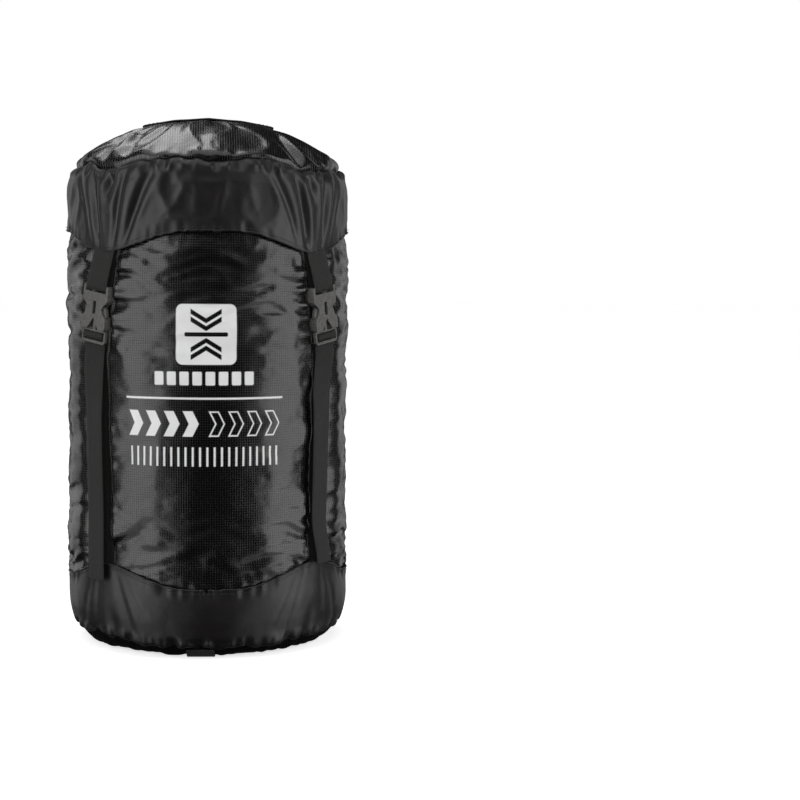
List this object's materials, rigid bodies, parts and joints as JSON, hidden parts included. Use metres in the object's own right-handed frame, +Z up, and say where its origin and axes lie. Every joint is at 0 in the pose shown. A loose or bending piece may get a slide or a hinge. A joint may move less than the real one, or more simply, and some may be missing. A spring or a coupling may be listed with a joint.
{
  "type": "compression sack",
  "caption": "Tall round stuff sack with a fitted lid, scalloped hems, four webbing compression straps with side-release buckles, and webbing grab handles.",
  "frame": {"origin": "centre of the base, on the surface that the sack stands on", "axes": "+Z up along the sack's axis, -Y towards the printed front, +X to the right seen from the front"},
  "size_m": [0.2626, 0.2626, 0.4877],
  "materials": {
    "ripstop": "glossy coated ripstop nylon",
    "taffeta": "smooth nylon taffeta with a soft sheen",
    "webbing": "matte ribbed polypropylene webbing",
    "buckle_plastic": "semi-gloss moulded acetal",
    "cord": "braided cord",
    "spring_steel": "bright wire"
  },
  "bodies": {
    "root": {"base_panel": "ripstop", "base_side_band": "taffeta", "base_hem_binding": "taffeta", "base_seam_tape": "taffeta", "base_grab_handle": "webbing", "body_tube_lower": "ripstop", "strap_run_front_left": "webbing", "strap_run_front_right": "webbing", "strap_run_back_right": "webbing", "strap_run_back_left": "webbing", "strap_tail_front_left": "webbing", "strap_tail_front_right": "webbing", "strap_tail_back_right": "webbing", "strap_tail_back_left": "webbing"},
    "sack_top": {"body_tube_upper": "ripstop", "drawcord_channel": "ripstop", "mouth_drawcord": "cord", "buckle_tongue_front_left": "buckle_plastic", "buckle_tongue_front_right": "buckle_plastic", "buckle_tongue_back_right": "buckle_plastic", "buckle_tongue_back_left": "buckle_plastic"},
    "cord_lock": {"cord_lock_barrel": "buckle_plastic", "cord_lock_spring": "spring_steel"},
    "cord_lock_button": {"cord_lock_plunger": "buckle_plastic"},
    "lid": {"lid_top_panel": "ripstop", "lid_side_band": "taffeta", "lid_hem_binding": "taffeta", "lid_seam_tape": "taffeta", "upper_strap_front_left": "webbing", "upper_strap_front_right": "webbing", "upper_strap_back_right": "webbing", "upper_strap_back_left": "webbing"},
    "top_handle": {"top_grab_handle": "webbing"},
    "socket_front_left": {"buckle_socket_front_left": "buckle_plastic"},
    "socket_front_right": {"buckle_socket_front_right": "buckle_plastic"},
    "socket_back_right": {"buckle_socket_back_right": "buckle_plastic"},
    "socket_back_left": {"buckle_socket_back_left": "buckle_plastic"},
    "prong_right_front_left": {"buckle_prong_right_front_left": "buckle_plastic"},
    "prong_left_front_left": {"buckle_prong_left_front_left": "buckle_plastic"},
    "prong_right_front_right": {"buckle_prong_right_front_right": "buckle_plastic"},
    "prong_left_front_right": {"buckle_prong_left_front_right": "buckle_plastic"},
    "prong_right_back_right": {"buckle_prong_right_back_right": "buckle_plastic"},
    "prong_left_back_right": {"buckle_prong_left_back_right": "buckle_plastic"},
    "prong_right_back_left": {"buckle_prong_right_back_left": "buckle_plastic"},
    "prong_left_back_left": {"buckle_prong_left_back_left": "buckle_plastic"}
  },
  "joints": [
    {"name": "compress", "type": "slide", "parent": "root", "child": "sack_top", "axis": [0, 0, 1], "range_m": [-0.18, 0], "deforming": ["strap_run_front_left", "strap_run_front_right", "strap_run_back_right", "strap_run_back_left", "strap_tail_front_left", "strap_tail_front_right", "strap_tail_back_right", "strap_tail_back_left"]},
    {"name": "lid_lift", "type": "slide", "parent": "sack_top", "child": "lid", "axis": [0, 0, 1], "range_m": [0, 0.12], "deforming": ["buckle_prong_right_front_left", "buckle_prong_left_front_left", "buckle_prong_right_front_right", "buckle_prong_left_front_right", "buckle_prong_right_back_right", "buckle_prong_left_back_right", "buckle_prong_right_back_left", "buckle_prong_left_back_left"]},
    {"name": "top_handle_lift", "type": "slide", "parent": "lid", "child": "top_handle", "axis": [0, 0, 1], "range_m": [0, 0.02], "deforming": ["top_grab_handle"]},
    {"name": "cord_lock_slide", "type": "slide", "parent": "sack_top", "child": "cord_lock", "axis": [0, 1, 0], "range_m": [-0.012, 0]},
    {"name": "cord_lock_press", "type": "slide", "parent": "cord_lock", "child": "cord_lock_button", "axis": [1, 0, 0], "range_m": [-0.003, 0], "stiffness_N_per_m": 500, "deforming": ["cord_lock_spring"]},
    {"name": "release_front_left", "type": "slide", "parent": "lid", "child": "socket_front_left", "axis": [0.1063, -0.1027, 0.989], "range_m": [0, 0.028], "deforming": ["upper_strap_front_left"]},
    {"name": "release_front_right", "type": "slide", "parent": "lid", "child": "socket_front_right", "axis": [-0.1008, -0.1081, 0.989], "range_m": [0, 0.028], "deforming": ["upper_strap_front_right"]},
    {"name": "release_back_right", "type": "slide", "parent": "lid", "child": "socket_back_right", "axis": [-0.1008, 0.1081, 0.989], "range_m": [0, 0.028], "deforming": ["upper_strap_back_right"]},
    {"name": "release_back_left", "type": "slide", "parent": "lid", "child": "socket_back_left", "axis": [0.1008, 0.1081, 0.989], "range_m": [0, 0.028], "deforming": ["upper_strap_back_left"]},
    {"name": "squeeze_right_front_left", "type": "hinge", "parent": "sack_top", "child": "prong_right_front_left", "pos_m": [-0.09454, -0.09221, 0.29234], "axis": [-0.6947, -0.7193, 0], "range_deg": [0, 9], "stiffness_Nm_per_rad": 1},
    {"name": "squeeze_left_front_left", "type": "hinge", "parent": "sack_top", "child": "prong_left_front_left", "pos_m": [-0.10699, -0.08018, 0.29493], "axis": [-0.6947, -0.7193, 0], "range_deg": [-9, 0], "stiffness_Nm_per_rad": 0.05},
    {"name": "squeeze_right_front_right", "type": "hinge", "parent": "sack_top", "child": "prong_right_front_right", "pos_m": [0.11104, -0.07447, 0.29493], "axis": [0.7314, -0.682, 0], "range_deg": [0, 9], "stiffness_Nm_per_rad": 1},
    {"name": "squeeze_left_front_right", "type": "hinge", "parent": "sack_top", "child": "prong_left_front_right", "pos_m": [0.09924, -0.08713, 0.29234], "axis": [0.7314, -0.682, 0], "range_deg": [-9, 0], "stiffness_Nm_per_rad": 0.05},
    {"name": "squeeze_right_back_right", "type": "hinge", "parent": "sack_top", "child": "prong_right_back_right", "pos_m": [0.09924, 0.08713, 0.29234], "axis": [0.7314, 0.682, 0], "range_deg": [0, 9], "stiffness_Nm_per_rad": 1},
    {"name": "squeeze_left_back_right", "type": "hinge", "parent": "sack_top", "child": "prong_left_back_right", "pos_m": [0.11104, 0.07447, 0.29493], "axis": [0.7314, 0.682, 0], "range_deg": [-9, 0], "stiffness_Nm_per_rad": 0.05},
    {"name": "squeeze_right_back_left", "type": "hinge", "parent": "sack_top", "child": "prong_right_back_left", "pos_m": [-0.11104, 0.07447, 0.29493], "axis": [-0.7314, 0.682, 0], "range_deg": [0, 9], "stiffness_Nm_per_rad": 1},
    {"name": "squeeze_left_back_left", "type": "hinge", "parent": "sack_top", "child": "prong_left_back_left", "pos_m": [-0.09924, 0.08713, 0.29234], "axis": [-0.7314, 0.682, 0], "range_deg": [-9, 0], "stiffness_Nm_per_rad": 0.05}
  ],
  "couplings": [
    {"joint": "squeeze_left_front_left", "follows": "squeeze_right_front_left", "ratio": -1},
    {"joint": "squeeze_left_front_right", "follows": "squeeze_right_front_right", "ratio": -1},
    {"joint": "squeeze_left_back_right", "follows": "squeeze_right_back_right", "ratio": -1},
    {"joint": "squeeze_left_back_left", "follows": "squeeze_right_back_left", "ratio": -1}
  ]
}
